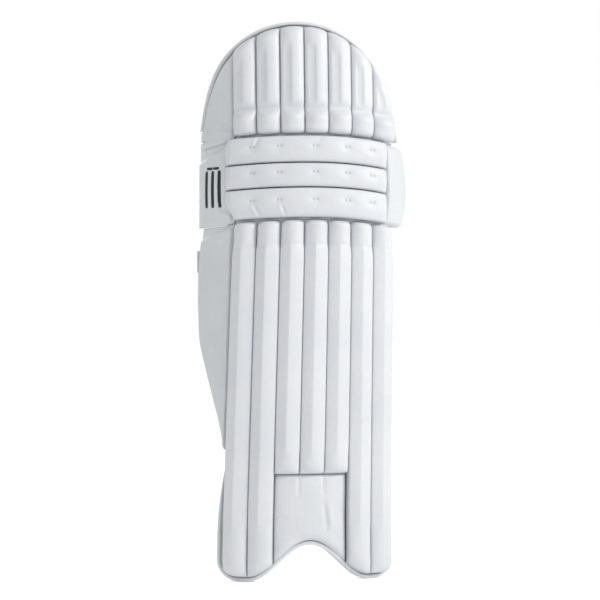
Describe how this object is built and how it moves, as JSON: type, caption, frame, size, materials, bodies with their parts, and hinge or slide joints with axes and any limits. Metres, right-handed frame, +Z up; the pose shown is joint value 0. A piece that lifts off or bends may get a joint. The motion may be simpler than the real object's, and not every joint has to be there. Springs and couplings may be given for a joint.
{
  "type": "cricket batting leg pad",
  "caption": "Right-leg batting pad: padded channels over canes, knee rolls, domed top hat, side wings that swing, an arch for the shoe and hook-and-loop straps.",
  "frame": {"origin": "on the floor under the centre of the bounding box, with the straps closed", "axes": "+Z up the leg; the padded face looks along -Y and the leg is behind it at +Y; +X is the inner side, on the right seen from the front"},
  "size_m": [0.2586, 0.1758, 0.6898],
  "materials": {
    "face_leather": "smooth coated, satin",
    "wing_leather": "smooth coated, satin",
    "binding": "satin",
    "lining": "brushed cotton",
    "foam": "foam",
    "cane": "split cane",
    "strap": "woven webbing",
    "hook_and_loop": "napped tape",
    "tab": "woven ribbon"
  },
  "bodies": {
    "shin": {"shin_backing": "foam", "shin_lining": "lining", "foot_binding": "binding", "shin_channel_1": "face_leather", "shin_cane_1": "cane", "shin_channel_2": "face_leather", "shin_cane_2": "cane", "shin_channel_3": "face_leather", "shin_cane_3": "cane", "shin_channel_4": "face_leather", "shin_cane_4": "cane", "shin_channel_5": "face_leather", "shin_cane_5": "cane", "shin_channel_6": "face_leather", "shin_cane_6": "cane", "shin_channel_7": "face_leather", "shin_cane_7": "cane", "instep_pad": "face_leather", "shin_bolster_outer": "lining", "shin_bolster_inner": "lining", "ankle_loop_tape": "hook_and_loop"},
    "calf_side": {"calf_wing": "wing_leather", "side_tab": "tab", "calf_loop_tape": "hook_and_loop"},
    "inner_side": {"inner_wing": "wing_leather"},
    "strap_calf": {"calf_strap": "strap", "calf_hook_tape": "hook_and_loop"},
    "strap_ankle": {"ankle_strap": "strap", "ankle_hook_tape": "hook_and_loop"},
    "knee": {"knee_backing": "foam", "knee_lining": "lining", "knee_roll_lower": "face_leather", "knee_roll_core_lower": "foam", "knee_roll_middle": "face_leather", "knee_roll_core_middle": "foam", "knee_roll_upper": "face_leather", "knee_roll_core_upper": "foam", "knee_wing_outer": "wing_leather", "knee_wing_inner": "wing_leather", "knee_cup": "lining", "knee_loop_tape": "hook_and_loop"},
    "strap_knee": {"knee_strap": "strap", "knee_hook_tape": "hook_and_loop"},
    "top_hat": {"top_hat_backing": "foam", "top_hat_lining": "lining", "top_binding": "binding", "top_channel_1": "face_leather", "top_cane_1": "cane", "top_channel_2": "face_leather", "top_cane_2": "cane", "top_channel_3": "face_leather", "top_cane_3": "cane", "top_channel_4": "face_leather", "top_cane_4": "cane", "top_channel_5": "face_leather", "top_cane_5": "cane", "top_channel_6": "face_leather", "top_cane_6": "cane", "top_channel_7": "face_leather", "top_hat_wing": "wing_leather"}
  },
  "joints": [
    {"name": "knee_flex", "type": "hinge", "parent": "shin", "child": "knee", "pos_m": [0.0101, -0.03018, 0.446], "axis": [-1, 0, 0], "range_deg": [0, 20], "stiffness_Nm_per_rad": 6},
    {"name": "top_hat_flex", "type": "hinge", "parent": "knee", "child": "top_hat", "pos_m": [0.0101, -0.03018, 0.549], "axis": [-1, 0, 0], "range_deg": [0, 20], "stiffness_Nm_per_rad": 4},
    {"name": "calf_wing_hinge", "type": "hinge", "parent": "shin", "child": "calf_side", "pos_m": [-0.09694, -0.03847, 0.16], "axis": [0.034, -0.0036, 0.9994], "range_deg": [0, 35], "stiffness_Nm_per_rad": 0.6},
    {"name": "inner_wing_hinge", "type": "hinge", "parent": "shin", "child": "inner_side", "pos_m": [0.10429, -0.03861, 0.15], "axis": [-0.008, 0.0036, -1], "range_deg": [0, 40], "stiffness_Nm_per_rad": 0.6},
    {"name": "calf_strap_hinge", "type": "hinge", "parent": "inner_side", "child": "strap_calf", "pos_m": [0.10922, 0.01074, 0.322], "axis": [-0.0075, 0.0102, -0.9999], "range_deg": [0, 95]},
    {"name": "ankle_strap_hinge", "type": "hinge", "parent": "inner_side", "child": "strap_ankle", "pos_m": [0.10807, 0.01231, 0.168], "axis": [-0.0075, 0.0102, -0.9999], "range_deg": [0, 95]},
    {"name": "knee_strap_hinge", "type": "hinge", "parent": "knee", "child": "strap_knee", "pos_m": [0.12351, -0.01021, 0.474], "axis": [0, 0, -1], "range_deg": [0, 95]}
  ]
}
